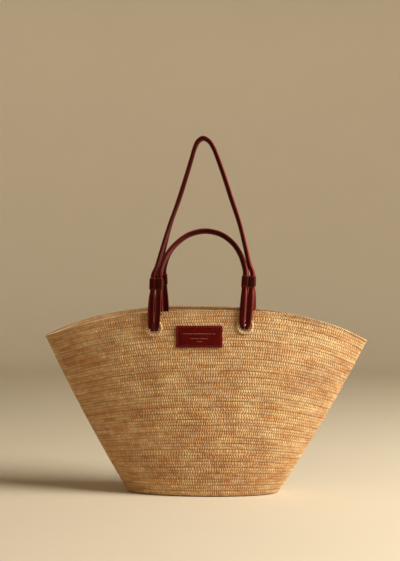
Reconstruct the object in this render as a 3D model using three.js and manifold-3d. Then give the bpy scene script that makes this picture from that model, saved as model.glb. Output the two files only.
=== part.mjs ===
// Crocheted raffia basket bag with four leather handles, millimetres, +Z up.
// The origin is the middle of the base on the floor, the front faces -Y and the width runs along X.
import * as THREE from 'three';
import { mergeVertices } from 'three/addons/utils/BufferGeometryUtils.js';
import Module from 'manifold-3d';

// Basket
const HEIGHT = 313; // floor to rim, the mean of the middle of the front and of the back
const BASE_WIDTH = 258;
const BASE_DEPTH = 132;
const MOUTH_WIDTH = 553;
const MOUTH_DEPTH = 128;
const SIDE_BOW = 4.5; // how far the left and right sides bulge past a straight line
const BELLY = 11; // how far the front and the back bulge past a straight line
const TIP_DROP_LEFT = 48; // how far the rim falls from the middle to each corner
const TIP_DROP_RIGHT = 54;
const RIM_TILT = 2.5; // the back rim is this much higher, and the front rim this much lower
const RIM_TWIST = 3.3; // the rim is this much higher back left and front right, and lower between them
const MOUTH_LEAN = 2.5; // the mouth sits this far to the right of the base
const WALL = 3;
const FLOOR = 3;
const BASE_EDGE = 6; // radius between the floor and the wall

// Eyelets and the raised rings round them
const GAP = 0.3; // clearance between two pieces that touch
const EYELET_SPACING = 152;
const EYELET_DROP = 26; // the rim above it to the middle of an eyelet
const BORE = 15;
const BARREL_WALL = 0.8;
const FLANGE_WIDTH = 1.8;
const FLANGE_THICK = 0.8;
const RING_WIDTH = 4.2;
const RING_THICK = 3;

// Handles
const LONG_RISE = 291; // HEIGHT to the middle of the strap at its highest point
const SHORT_RISE = 132;
const LONG_ASIDE = 0.5; // its highest point lies this far to the right
const SHORT_ASIDE = 4;
const LONG_WIDTH = 7.6;
const SHORT_WIDTH = 8.8;
const HANDLE_THICK = 5.4;
const LONG_HALF_SPLIT = 7; // half the distance between the front and the back strap at the top
const SHORT_HALF_SPLIT = 12;
const PAIR_SPACING = 11.6; // a long and a short strap side by side
const LOOP_THICK = 2.2; // single leather below the keeper
const LOOP_SPARE = 0.6; // room between the loop and the raised ring
const LOOP_SAG = 1.2; // a loop hangs this much lower beside the wall than in the eyelet
const KEEPER_LIFT = 38.5; // rim to the lower end of a keeper
const KEEPER_HEIGHT = 19;
const KEEPER_WALL = 1.1;
const KEEPER_RUN = 3; // a strap stays straight this far past each end of its keeper

// Label
const LABEL_WIDTH = 78;
const LABEL_HEIGHT = 36.5;
const LABEL_THICK = 2;
const LABEL_DROP = 43.5; // front rim to the middle of the label

// Shape of the basket and the steps it is drawn in
const BASE_ROUNDNESS = 0.9; // 1 is an ellipse, less is squarer, more is sharper at the ends
const MOUTH_ROUNDNESS = 1.12;
const RIM_CURVE_LEFT = 2.5; // power with which the rim falls towards each corner
const RIM_CURVE_RIGHT = 2.8;
const ROUND_STEPS = 60;
const RISE_STEPS = 13;
const EDGE_STEPS = 2; // of those, how many round the edge of the base
const MOUTH_CUT = 1.1; // how far up the hollow is carried, as a share of the wall

// Outline of each handle from a keeper to its highest point. out, up and lean are shares of the way in X, in
// height and towards the other handle of its kind. right moves both legs over, as a share of its half width.
const LONG_OUTLINE = [
  { out: 1, up: 0, lean: 0, right: 0 },
  { out: 0.935, up: 0.065, lean: 0.09, right: 0.005 },
  { out: 0.86, up: 0.17, lean: 0.27, right: 0.012 },
  { out: 0.71, up: 0.37, lean: 0.6, right: 0.025 },
  { out: 0.53, up: 0.56, lean: 0.85, right: 0.034 },
  { out: 0.37, up: 0.74, lean: 0.96, right: 0.034 },
  { out: 0.255, up: 0.865, lean: 1, right: 0.025 },
  { out: 0.19, up: 0.93, lean: 1, right: 0.016 },
  { out: 0.105, up: 0.98, lean: 1, right: 0.006 },
];
const SHORT_OUTLINE = [
  { out: 1, up: 0, lean: 0, right: 0 },
  { out: 0.955, up: 0.22, lean: 0.16, right: 0 },
  { out: 0.86, up: 0.46, lean: 0.38, right: 0 },
  { out: 0.64, up: 0.74, lean: 0.68, right: 0.01 },
  { out: 0.35, up: 0.93, lean: 0.91, right: 0.01 },
];
const ARCH_STEPS = 2; // stations from one row of an outline to the next

// Sections of an end loop. lift runs from the eyelet, 0, past the rim, 1, to the keeper, 2. spread runs from
// the strap's line in the keeper, 0, to the loop's own line, 1. aside and width are shares of the loop's own.
const LOOP_SECTIONS = [
  { lift: 1.7, spread: 0.5, aside: 1, width: 0.88 },
  { lift: 1, spread: 1, aside: 1, width: 1 },
  { lift: 0.5, spread: 1, aside: 0.95, width: 0.94 },
];
// Where the loop starts to turn through the eyelet, as shares of the loop, and in it, as shares of the bore
const AT_BEND = { aside: 0.87, width: 0.85 };
const IN_BORE = { aside: 0.16, width: 0.29, thick: 0.2, low: 0.37 };
const BEND_STEPS = 6;

// Sides of round pieces
const EYELET_SIDES = 16;
const RING_SIDES = 20;
const ROPE_SIDES = 6;
const STRAP_SIDES = 8;
const STRAP_SQUARENESS = 0.55; // 1 is an ellipse, less is closer to a rectangle
const LABEL_COLUMNS = 6;
const LABEL_ROWS = 3;
const SOLVE_ROUNDS = 20;
const MERGE_DISTANCE = 1e-3;

const FRONT = -1;
const BACK = 1;
const LEFT = -1;
const RIGHT = 1;

// Each place where a long and a short strap pass through one eyelet. keepersRight is how far the keepers there
// lie to the right of the eyelet.
const PAIRS = [
  { name: 'front_left', side: FRONT, end: LEFT, keepersRight: 1 },
  { name: 'front_right', side: FRONT, end: RIGHT, keepersRight: 5 },
  { name: 'back_left', side: BACK, end: LEFT, keepersRight: -3.5 },
  { name: 'back_right', side: BACK, end: RIGHT, keepersRight: 1.5 },
];

const wasm = await Module();
wasm.setup();

const raffia = { color: 0xc9985a, roughness: 0.85, metalness: 0 };
const leather = { color: 0x5a1a16, roughness: 0.45, metalness: 0 };
const nickel = { color: 0xd8d2c8, roughness: 0.25, metalness: 1 };

const group = new THREE.Group();

function addPiece(name, geometry, look) {
  const mesh = new THREE.Mesh(geometry, new THREE.MeshStandardMaterial(look));
  mesh.name = name;
  group.add(mesh);
  return mesh;
}

// Moves every vertex of a geometry to where place() puts it.
function reshape(geometry, place) {
  const position = geometry.attributes.position;
  const corner = new THREE.Vector3();
  for (let i = 0; i < position.count; i += 1) {
    corner.fromBufferAttribute(position, i);
    const moved = place(corner);
    position.setXYZ(i, moved.x, moved.y, moved.z);
  }
  return geometry;
}

function toSolid(geometry) {
  const bare = geometry.clone();
  bare.deleteAttribute('normal');
  bare.deleteAttribute('uv');
  const merged = mergeVertices(bare, MERGE_DISTANCE);
  return new wasm.Manifold(new wasm.Mesh({
    numProp: 3,
    vertProperties: new Float32Array(merged.attributes.position.array),
    triVerts: new Uint32Array(merged.index.array),
  }));
}

function toGeometry(solid) {
  const mesh = solid.getMesh();
  const geometry = new THREE.BufferGeometry();
  geometry.setAttribute('position', new THREE.BufferAttribute(mesh.vertProperties, mesh.numProp));
  geometry.setIndex(new THREE.BufferAttribute(mesh.triVerts, 1));
  return geometry;
}

function mix(low, high, share) {
  return low + (high - low) * share;
}

// How far the wall is drawn in by the rounded edge of the base.
function edgeInset(rise) {
  const left = Math.max(0, BASE_EDGE - rise * HEIGHT);
  return BASE_EDGE - Math.sqrt(BASE_EDGE ** 2 - left ** 2);
}

function halfWidth(rise) {
  const bow = 4 * SIDE_BOW * rise * (1 - rise);
  return mix(BASE_WIDTH, MOUTH_WIDTH, rise) / 2 + bow - edgeInset(rise);
}

function halfDepth(rise) {
  const belly = 4 * BELLY * rise * (1 - rise);
  return mix(BASE_DEPTH, MOUTH_DEPTH, rise) / 2 + belly - edgeInset(rise);
}

// Height of the rim. along and across go round it as cosine and sine, to the right and to the back.
function rimHeight(along, across) {
  const drop = along < 0 ? TIP_DROP_LEFT : TIP_DROP_RIGHT;
  const curve = along < 0 ? RIM_CURVE_LEFT : RIM_CURVE_RIGHT;
  const level = HEIGHT - drop * Math.abs(along) ** curve;
  return level + RIM_TILT * across - 2 * RIM_TWIST * along * across;
}

// Height of the rim of the front or the back wall at this X.
function rimAt(x, side) {
  const along = (x - MOUTH_LEAN) / halfWidth(1);
  return rimHeight(along, side * Math.sqrt(1 - along ** 2));
}

// A point of the wall: along and across as in rimHeight, rise goes from floor to rim, and inset draws it in
// by the thickness of the wall.
function wallPoint(along, across, rise, inset) {
  const slope = (MOUTH_WIDTH - BASE_WIDTH) / 2 / (HEIGHT - TIP_DROP_LEFT);
  const width = halfWidth(rise) - inset * Math.hypot(1, slope);
  const depth = halfDepth(rise) - inset;
  const roundness = mix(BASE_ROUNDNESS, MOUTH_ROUNDNESS, rise);
  return new THREE.Vector3(
    width * along + MOUTH_LEAN * rise,
    depth * Math.sign(across) * Math.abs(across) ** roundness,
    rise * rimHeight(along, across),
  );
}

// The outer face of the front or the back wall, at a place given by its X and its height.
function faceAt(x, height, side) {
  let rise = height / HEIGHT;
  let along = 0;
  let across = side;
  for (let round = 0; round < SOLVE_ROUNDS; round += 1) {
    along = (x - MOUTH_LEAN * rise) / halfWidth(rise);
    across = side * Math.sqrt(1 - along ** 2);
    rise = height / rimHeight(along, across);
  }
  return wallPoint(along, across, rise, 0);
}

// Axes of the wall at a place: across runs to +X, up runs up the wall and out points away from the basket.
function wallAxes(x, height, side) {
  const step = 1;
  const across = faceAt(x + step, height, side).sub(faceAt(x - step, height, side)).normalize();
  const up = faceAt(x, height + step, side).sub(faceAt(x, height - step, side)).normalize();
  const out = new THREE.Vector3().crossVectors(across, up).multiplyScalar(-side).normalize();
  up.crossVectors(out, across).multiplyScalar(-side);
  const middle = faceAt(x, height, side).addScaledVector(out, -WALL / 2);
  return { middle, across, up, out };
}

function onWall(axes, across, up, out) {
  return axes.middle.clone()
    .addScaledVector(axes.across, across)
    .addScaledVector(axes.up, up)
    .addScaledVector(axes.out, out);
}

// Turns a piece whose own Y axis points out of the wall and whose own Z axis runs along the wall.
function seat(mesh, axes, out) {
  const frame = new THREE.Matrix4().makeBasis(
    new THREE.Vector3().crossVectors(axes.out, axes.up),
    axes.out,
    axes.up,
  );
  mesh.quaternion.setFromRotationMatrix(frame);
  mesh.position.copy(onWall(axes, 0, 0, out));
}

// Basket body: rows of the wall lie close together round the edge of the base and evenly above it.
function rowRise(step, from, to) {
  const edge = from + BASE_EDGE / HEIGHT;
  if (step <= EDGE_STEPS) {
    return mix(edge, from, Math.cos(step / EDGE_STEPS * Math.PI / 2));
  }
  return mix(edge, to, (step - EDGE_STEPS) / (RISE_STEPS - EDGE_STEPS));
}

function shell(inset, from, to) {
  const blank = new THREE.CylinderGeometry(1, 1, 1, ROUND_STEPS, RISE_STEPS);
  return toSolid(reshape(blank, (corner) => {
    const step = Math.round((corner.y + 0.5) * RISE_STEPS);
    return wallPoint(corner.z, corner.x, rowRise(step, from, to), inset);
  }));
}

const holeRadius = BORE / 2 + BARREL_WALL + GAP;
const holeLength = 4 * WALL; // well past both faces

function eyeletAxes({ side, end }) {
  const x = end * EYELET_SPACING / 2;
  return wallAxes(x, rimAt(x, side) - EYELET_DROP, side);
}

function eyeletHole(pair) {
  const cutter = new THREE.Mesh(new THREE.CylinderGeometry(holeRadius, holeRadius, holeLength, EYELET_SIDES));
  seat(cutter, eyeletAxes(pair), 0);
  cutter.updateMatrix();
  return toSolid(cutter.geometry.applyMatrix4(cutter.matrix));
}

function basketBody() {
  const hollow = shell(WALL, FLOOR / HEIGHT, MOUTH_CUT);
  let body = shell(0, 0, 1).subtract(hollow);
  for (const pair of PAIRS) {
    body = body.subtract(eyeletHole(pair));
  }
  return toGeometry(body);
}

// Eyelet: a spool whose two flanges clasp the wall, turned about its own Y axis.
const flangeRadius = BORE / 2 + BARREL_WALL + FLANGE_WIDTH;
const flangeInner = WALL / 2 + GAP;
const flangeOuter = flangeInner + FLANGE_THICK;

function eyelet() {
  const bore = BORE / 2;
  const barrel = bore + BARREL_WALL;
  const profile = [
    [bore, -flangeOuter],
    [flangeRadius, -flangeOuter],
    [flangeRadius, -flangeInner],
    [barrel, -flangeInner],
    [barrel, flangeInner],
    [flangeRadius, flangeInner],
    [flangeRadius, flangeOuter],
    [bore, flangeOuter],
    [bore, -flangeOuter],
  ];
  return new THREE.LatheGeometry(profile.map(([r, y]) => new THREE.Vector2(r, y)), EYELET_SIDES);
}

// Raised ring: a flattened rope of raffia that lies on the wall round the flange.
const ringMiddle = flangeRadius + GAP + RING_WIDTH / 2;

function raffiaRing() {
  const profile = [];
  for (let i = 0; i <= ROPE_SIDES; i += 1) {
    const turn = i / ROPE_SIDES * 2 * Math.PI;
    const r = ringMiddle + RING_WIDTH / 2 * Math.cos(turn);
    profile.push(new THREE.Vector2(r, RING_THICK / 2 * Math.sin(turn)));
  }
  return new THREE.LatheGeometry(profile, RING_SIDES);
}

// Handle: one strap that runs from the keeper down the inside, out through the eyelet, up the outside,
// over the arch and down to the other eyelet in the same way.
const loopOut = WALL / 2 + GAP + RING_THICK + LOOP_SPARE + LOOP_THICK / 2;
const loopAside = PAIR_SPACING / 2;
const loopWidth = PAIR_SPACING - 2 * GAP;
const bendUp = loopOut + BORE * (IN_BORE.thick / 2 - IN_BORE.low);
const keeperLow = EYELET_DROP + KEEPER_LIFT;
const keeperHigh = keeperLow + KEEPER_HEIGHT;
const stackHalf = (HANDLE_THICK + GAP + LOOP_THICK) / 2;

// Axes of the straps and keepers at an eyelet, turned about its bore so that the keepers lie to one side.
function strapAxes(pair) {
  const axes = eyeletAxes(pair);
  const turn = Math.asin(pair.keepersRight / keeperLow);
  return {
    ...axes,
    across: axes.across.clone().applyAxisAngle(axes.out, pair.side * turn),
    up: axes.up.clone().applyAxisAngle(axes.out, pair.side * turn),
  };
}

// Height above the eyelet of a section of the loop.
function liftUp(lift) {
  return lift > 1 ? mix(EYELET_DROP, keeperLow, lift - 1) : mix(bendUp, EYELET_DROP, lift);
}

// One leg of an end loop, from its line in the keeper to its line beside the wall.
function loopLeg(keeperOut, wallOut) {
  return LOOP_SECTIONS.map(({ lift, spread, aside, width }) => ({
    out: mix(keeperOut, wallOut, spread),
    up: liftUp(lift),
    aside: loopAside * aside,
    width: loopWidth * width,
    thick: LOOP_THICK,
  }));
}

// The turn through the eyelet, a half circle that sags beside the wall.
function bend() {
  return Array.from({ length: BEND_STEPS + 1 }, (_, i) => {
    const turn = i / BEND_STEPS * Math.PI;
    const deep = Math.sin(turn);
    return {
      out: loopOut * Math.cos(turn),
      up: bendUp - loopOut * deep - LOOP_SAG * Math.sin(2 * turn) ** 2,
      aside: mix(loopAside * AT_BEND.aside, BORE * IN_BORE.aside, deep),
      width: mix(loopWidth * AT_BEND.width, BORE * IN_BORE.width, deep),
      thick: mix(LOOP_THICK, BORE * IN_BORE.thick, deep),
    };
  });
}

// Stations of one end of a strap, from its tip in the keeper to where the arch starts.
function strapEnd(width) {
  const tipOut = LOOP_THICK / 2 - stackHalf;
  const mainOut = stackHalf - HANDLE_THICK / 2;
  const inKeeper = (out, up, thick) => ({ out, up, aside: loopAside, width, thick });
  return [
    inKeeper(tipOut, keeperHigh, LOOP_THICK),
    inKeeper(tipOut, keeperLow - KEEPER_RUN, LOOP_THICK),
    ...loopLeg(tipOut, -loopOut),
    ...bend().reverse(),
    ...loopLeg(mainOut, loopOut).reverse(),
    inKeeper(mainOut, keeperLow - KEEPER_RUN, HANDLE_THICK),
    inKeeper(mainOut, keeperLow, HANDLE_THICK),
    inKeeper(mainOut, keeperHigh, HANDLE_THICK),
    inKeeper(mainOut, keeperHigh + KEEPER_RUN, HANDLE_THICK),
  ];
}

// The long strap lies on the far side of the eyelet, away 1, and the short one on the near side, away -1.
function placeEnd(stations, pair, away) {
  const axes = strapAxes(pair);
  return stations.map(({ out, up, aside, width, thick }) => (
    { point: onWall(axes, pair.end * away * aside, up, out), width, thick }
  ));
}

function archPoints(from, to, outline, top) {
  const half = (to.x - from.x) / 2;
  const place = (foot, row) => new THREE.Vector3(
    mix(top.x, foot.x, row.out) + half * row.right,
    mix(foot.y, top.y, row.lean),
    mix(foot.z, top.z, row.up),
  );
  const rising = outline.map((row) => place(from, row));
  const falling = outline.map((row) => place(to, row)).reverse();
  const curve = new THREE.CatmullRomCurve3([...rising, top, ...falling]);
  return curve.getPoints(2 * outline.length * ARCH_STEPS).slice(1, -1);
}

// The width direction of a strap, carried along it from one end without twisting.
function carryAcross(alongs, start) {
  const across = start.clone();
  return alongs.map((along) => across.addScaledVector(along, -across.dot(along)).normalize().clone());
}

// A closed strap of rounded section carried through stations, each with its own width and thickness.
function strap(stations) {
  const last = stations.length - 1;
  const alongs = stations.map((station, i) => (
    stations[Math.min(last, i + 1)].point.clone().sub(stations[Math.max(0, i - 1)].point).normalize()
  ));
  const fromLeft = carryAcross(alongs, new THREE.Vector3(1, 0, 0));
  const fromRight = carryAcross([...alongs].reverse(), new THREE.Vector3(-1, 0, 0)).reverse();
  const frames = alongs.map((along, i) => {
    const across = fromLeft[i].clone().lerp(fromRight[i], i / last);
    across.addScaledVector(along, -across.dot(along)).normalize();
    return { across, through: new THREE.Vector3().crossVectors(across, along) };
  });
  const soften = (value) => Math.sign(value) * Math.abs(value) ** STRAP_SQUARENESS;
  const blank = new THREE.CylinderGeometry(1, 1, 1, STRAP_SIDES, last);
  return reshape(blank, (corner) => {
    const i = Math.round((corner.y + 0.5) * last);
    const { point, width, thick } = stations[i];
    return point.clone()
      .addScaledVector(frames[i].across, soften(corner.x) * width / 2)
      .addScaledVector(frames[i].through, soften(corner.z) * thick / 2);
  });
}

function handle(side, { away, width, outline, rise, aside, split }) {
  const stations = strapEnd(width);
  const [left, right] = PAIRS.filter((pair) => pair.side === side).map((pair) => placeEnd(stations, pair, away));
  right.reverse();
  const top = new THREE.Vector3(aside, side * split, HEIGHT + rise);
  const points = archPoints(left.at(-1).point, right[0].point, outline, top);
  const arch = points.map((point) => ({ point, width, thick: HANDLE_THICK }));
  return strap([...left, ...arch, ...right]);
}

const HANDLES = [
  {
    name: 'long',
    away: 1,
    width: LONG_WIDTH,
    outline: LONG_OUTLINE,
    rise: LONG_RISE,
    aside: LONG_ASIDE,
    split: LONG_HALF_SPLIT,
  },
  {
    name: 'short',
    away: -1,
    width: SHORT_WIDTH,
    outline: SHORT_OUTLINE,
    rise: SHORT_RISE,
    aside: SHORT_ASIDE,
    split: SHORT_HALF_SPLIT,
  },
];

// Keeper: a sleeve round both layers of the strap, extruded along its own Z axis.
function roundedOutline(path, width, depth, radius) {
  const x = width / 2;
  const y = depth / 2;
  path.moveTo(x, -y + radius);
  path.lineTo(x, y - radius);
  path.absarc(x - radius, y - radius, radius, 0, Math.PI / 2);
  path.lineTo(-x + radius, y);
  path.absarc(-x + radius, y - radius, radius, Math.PI / 2, Math.PI);
  path.lineTo(-x, -y + radius);
  path.absarc(-x + radius, -y + radius, radius, Math.PI, 1.5 * Math.PI);
  path.lineTo(x - radius, -y);
  path.absarc(x - radius, -y + radius, radius, 1.5 * Math.PI, 2 * Math.PI);
  return path;
}

function keeper(width) {
  const innerWidth = width + 2 * GAP;
  const innerDepth = 2 * stackHalf + 2 * GAP;
  const outline = roundedOutline(
    new THREE.Shape(),
    innerWidth + 2 * KEEPER_WALL,
    innerDepth + 2 * KEEPER_WALL,
    2 * KEEPER_WALL,
  );
  outline.holes.push(roundedOutline(new THREE.Path(), innerWidth, innerDepth, GAP));
  const sleeve = { depth: KEEPER_HEIGHT, bevelEnabled: false, curveSegments: 1 };
  return new THREE.ExtrudeGeometry(outline, sleeve);
}

// Label: a flat patch bent onto the front wall.
function label() {
  const blank = new THREE.BoxGeometry(LABEL_WIDTH, LABEL_THICK, LABEL_HEIGHT, LABEL_COLUMNS, 1, LABEL_ROWS);
  const middle = rimAt(0, FRONT) - LABEL_DROP;
  return reshape(blank, (corner) => {
    const axes = wallAxes(corner.x, middle + corner.z, FRONT);
    return onWall(axes, 0, 0, WALL / 2 + GAP + LABEL_THICK / 2 - corner.y);
  });
}

addPiece('basket_body', basketBody(), raffia);
addPiece('label_patch', label(), leather);
for (const pair of PAIRS) {
  seat(addPiece(`eyelet_${pair.name}`, eyelet(), nickel), eyeletAxes(pair), 0);
  const ringOut = WALL / 2 + GAP + RING_THICK / 2;
  seat(addPiece(`raffia_ring_${pair.name}`, raffiaRing(), raffia), eyeletAxes(pair), ringOut);
  for (const { name, away, width } of HANDLES) {
    const sleeve = addPiece(`keeper_${name}_${pair.name}`, keeper(width), leather);
    seat(sleeve, strapAxes(pair), 0);
    sleeve.position.copy(onWall(strapAxes(pair), pair.end * away * loopAside, keeperLow, 0));
  }
}
for (const kind of HANDLES) {
  addPiece(`${kind.name}_handle_front`, handle(FRONT, kind), leather);
  addPiece(`${kind.name}_handle_back`, handle(BACK, kind), leather);
}

export default group;
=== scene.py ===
"""Crocheted raffia basket bag with four leather handles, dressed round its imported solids.

Shapes are worked out in millimetres with +Z up, the front towards -Y and the width along X.
"""

import math

import bmesh
import bpy
import numpy as np
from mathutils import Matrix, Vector


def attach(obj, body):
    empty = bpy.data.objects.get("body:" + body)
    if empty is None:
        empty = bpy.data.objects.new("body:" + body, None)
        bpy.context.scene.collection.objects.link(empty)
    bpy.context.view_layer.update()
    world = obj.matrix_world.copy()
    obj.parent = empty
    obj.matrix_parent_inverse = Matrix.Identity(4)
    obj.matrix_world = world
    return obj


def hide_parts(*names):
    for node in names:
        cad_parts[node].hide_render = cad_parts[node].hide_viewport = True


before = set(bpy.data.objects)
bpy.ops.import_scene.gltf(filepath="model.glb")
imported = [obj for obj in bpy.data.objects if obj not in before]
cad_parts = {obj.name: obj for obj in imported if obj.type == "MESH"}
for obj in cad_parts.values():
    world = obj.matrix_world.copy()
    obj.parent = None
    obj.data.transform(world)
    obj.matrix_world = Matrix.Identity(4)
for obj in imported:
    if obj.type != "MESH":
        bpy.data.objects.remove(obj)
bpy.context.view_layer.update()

bl_info = {
    "name": "Straw Basket Bag",
    "version": (1, 0, 0),
    "blender": (4, 5, 0),
    "location": "3D View > Sidebar > Basket Bag",
    "description": "Builds a crocheted raffia basket bag with folded leather handles",
    "category": "Object",
}

MM = 0.001

# Basket, as its solid
HEIGHT = 313.0
BASE_WIDTH, BASE_DEPTH = 258.0, 132.0
MOUTH_WIDTH, MOUTH_DEPTH = 553.0, 128.0
SIDE_BOW, BELLY = 4.5, 11.0
TIP_DROP_LEFT, TIP_DROP_RIGHT = 48.0, 54.0
RIM_TILT, RIM_TWIST = 2.5, 3.3
MOUTH_LEAN = 2.5
WALL, FLOOR = 3.0, 3.0
BASE_EDGE = 6.0
BASE_ROUNDNESS, MOUTH_ROUNDNESS = 0.9, 1.12
RIM_CURVE_LEFT, RIM_CURVE_RIGHT = 2.5, 2.8
SOLVE_ROUNDS = 20

# Eyelets, their rings and the label
GAP = 0.3
EYELET_SPACING, EYELET_DROP = 152.0, 26.0
BORE, BARREL_WALL = 15.0, 0.8
FLANGE_WIDTH, FLANGE_THICK = 1.8, 0.8
RING_WIDTH, RING_THICK = 4.2, 3.0
LABEL_WIDTH, LABEL_HEIGHT, LABEL_THICK = 78.0, 36.5, 2.0
LABEL_DROP = 43.5

# Handles
LONG_RISE, SHORT_RISE = 291.0, 132.0
LONG_ASIDE, SHORT_ASIDE = 0.5, 4.0
LONG_WIDTH, SHORT_WIDTH = 7.6, 8.8
HANDLE_THICK = 5.4
LONG_HALF_SPLIT, SHORT_HALF_SPLIT = 7.0, 12.0
PAIR_SPACING = 11.6
LOOP_THICK, LOOP_SPARE, LOOP_SAG = 2.2, 0.6, 1.2
KEEPER_LIFT, KEEPER_HEIGHT, KEEPER_WALL = 38.5, 19.0, 1.1
KEEPER_RUN = 3.0
# Rows of an outline: share of the way out, of the height, of the way to the other handle, and to the right
LONG_OUTLINE = np.array([
    (1, 0, 0, 0), (0.935, 0.065, 0.09, 0.005), (0.86, 0.17, 0.27, 0.012), (0.71, 0.37, 0.6, 0.025),
    (0.53, 0.56, 0.85, 0.034), (0.37, 0.74, 0.96, 0.034), (0.255, 0.865, 1, 0.025), (0.19, 0.93, 1, 0.016),
    (0.105, 0.98, 1, 0.006),
])
SHORT_OUTLINE = np.array([
    (1, 0, 0, 0), (0.955, 0.22, 0.16, 0), (0.86, 0.46, 0.38, 0), (0.64, 0.74, 0.68, 0.01),
    (0.35, 0.93, 0.91, 0.01),
])
# Rows of a loop: lift, spread, share aside and share of width
LOOP_SECTIONS = np.array([(1.7, 0.5, 1, 0.88), (1, 1, 1, 1), (0.5, 1, 0.95, 0.94)])
# Shares of the loop where it starts to turn, and of the bore inside it
AT_BEND = {"aside": 0.87, "width": 0.85}
IN_BORE = {"aside": 0.16, "width": 0.29, "thick": 0.2, "low": 0.37}
BEND_STEPS = 6

FRONT, BACK = -1, 1
LEFT, RIGHT = -1, 1
SIDES = {"front": FRONT, "back": BACK}
# Side and end of the bag where each pair of straps is held, and how far its keepers lie to the right
PAIRS = {
    "front_left": (FRONT, LEFT, 1.0), "front_right": (FRONT, RIGHT, 5.0),
    "back_left": (BACK, LEFT, -3.5), "back_right": (BACK, RIGHT, 1.5),
}
KINDS = {
    "long": dict(
        away=1, width=LONG_WIDTH, outline=LONG_OUTLINE, rise=LONG_RISE, split=LONG_HALF_SPLIT,
        aside=LONG_ASIDE,
    ),
    "short": dict(
        away=-1, width=SHORT_WIDTH, outline=SHORT_OUTLINE, rise=SHORT_RISE, split=SHORT_HALF_SPLIT,
        aside=SHORT_ASIDE,
    ),
}


# Shape of the basket

def mix(low, high, share):
    return low + (high - low) * share


def smooth_step(low, high, value):
    """0 below low, 1 above high and 3s^2 - 2s^3 of the share s between them."""
    share = np.clip((value - low) / (high - low), 0, 1)
    return share * share * (3 - 2 * share)


def edge_inset(rise):
    """A quarter circle of radius BASE_EDGE draws the wall in next to the floor."""
    left = np.maximum(0, BASE_EDGE - rise * HEIGHT)
    return BASE_EDGE - np.sqrt(BASE_EDGE**2 - left**2)


def half_width(rise):
    """A straight flare from base to mouth plus a parabola of height SIDE_BOW."""
    bow = 4 * SIDE_BOW * rise * (1 - rise)
    return mix(BASE_WIDTH, MOUTH_WIDTH, rise) / 2 + bow - edge_inset(rise)


def half_depth(rise):
    """As half_width, from front to back, with a parabola of height BELLY."""
    belly = 4 * BELLY * rise * (1 - rise)
    return mix(BASE_DEPTH, MOUTH_DEPTH, rise) / 2 + belly - edge_inset(rise)


def rim_height(along, across):
    """HEIGHT less the drop of that corner times a power of the share of the way to it, plus a tilt with the
    sine across and a twist with the sine of twice the angle."""
    drop = np.where(along < 0, TIP_DROP_LEFT, TIP_DROP_RIGHT)
    curve = np.where(along < 0, RIM_CURVE_LEFT, RIM_CURVE_RIGHT)
    level = HEIGHT - drop * np.abs(along) ** curve
    return level + RIM_TILT * across - 2 * RIM_TWIST * along * across


def rim_at(x, side):
    """Height of the rim of the front or the back wall at this X."""
    along = (x - MOUTH_LEAN) / half_width(1.0)
    return float(rim_height(along, side * math.sqrt(1 - along**2)))


def wall_point(angle, rise, inset=0.0):
    """An oval whose cosine gives X and whose sine, to the power of the roundness, gives Y; the rim's curve
    times the rise gives Z, and the mouth leans to the right."""
    along, across = np.cos(angle), np.sin(angle)
    slope = (MOUTH_WIDTH - BASE_WIDTH) / 2 / (HEIGHT - TIP_DROP_LEFT)
    width = half_width(rise) - inset * math.hypot(1, slope)
    depth = half_depth(rise) - inset
    bent = np.sign(across) * np.abs(across) ** mix(BASE_ROUNDNESS, MOUTH_ROUNDNESS, rise)
    return np.stack([width * along + MOUTH_LEAN * rise, depth * bent, rise * rim_height(along, across)], -1)


def unit(vectors):
    return vectors / np.linalg.norm(vectors, axis=-1, keepdims=True)


def wall_normal(angle, rise):
    """Cross product of the steps round and up the wall, which points out of the basket."""
    turn, lift = 1e-3, 1e-3
    rise = np.clip(rise, lift, 1 - lift)
    around = wall_point(angle + turn, rise) - wall_point(angle - turn, rise)
    up = wall_point(angle, rise + lift) - wall_point(angle, rise - lift)
    return unit(np.cross(around, up))


def face_at(x, height, side):
    """Point of the outer face at this X and this height, found by repeating the rise that it needs."""
    rise = height / HEIGHT
    for _ in range(SOLVE_ROUNDS):
        along = (x - MOUTH_LEAN * rise) / half_width(rise)
        across = side * np.sqrt(1 - along**2)
        rise = height / rim_height(along, across)
    return wall_point(np.arctan2(across, along), rise)


def wall_axes(x, height, side):
    """Axes of the wall at a place, across to +X, up the wall and out of it, and the middle of its
    thickness."""
    x, height = np.asarray(x, float), np.asarray(height, float)
    across = unit(face_at(x + 1, height, side) - face_at(x - 1, height, side))
    up = unit(face_at(x, height + 1, side) - face_at(x, height - 1, side))
    out = unit(-side * np.cross(across, up))
    up = -side * np.cross(out, across)
    return {"middle": face_at(x, height, side) - out * WALL / 2, "across": across, "up": up, "out": out}


def on_wall(axes, across, up, out):
    """A point that lies this far along each of the three axes from the middle of the wall."""
    steps = np.stack(np.broadcast_arrays(across, up, out), -1)
    return axes["middle"] + steps @ np.stack([axes["across"], axes["up"], axes["out"]])


def eyelet_axes(pair):
    side, end, _ = PAIRS[pair]
    x = end * EYELET_SPACING / 2
    return wall_axes(x, rim_at(x, side) - EYELET_DROP, side)


def strap_axes(pair):
    """The eyelet's axes turned about its bore, so that the keepers lie to one side of it."""
    axes = eyelet_axes(pair)
    turn = math.asin(PAIRS[pair][2] / (EYELET_DROP + KEEPER_LIFT))
    across, up = axes["across"], axes["up"]
    return axes | {
        "across": across * math.cos(turn) - up * math.sin(turn),
        "up": up * math.cos(turn) + across * math.sin(turn),
    }


# Meshes

MERGE_DISTANCE = 1e-6


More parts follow.
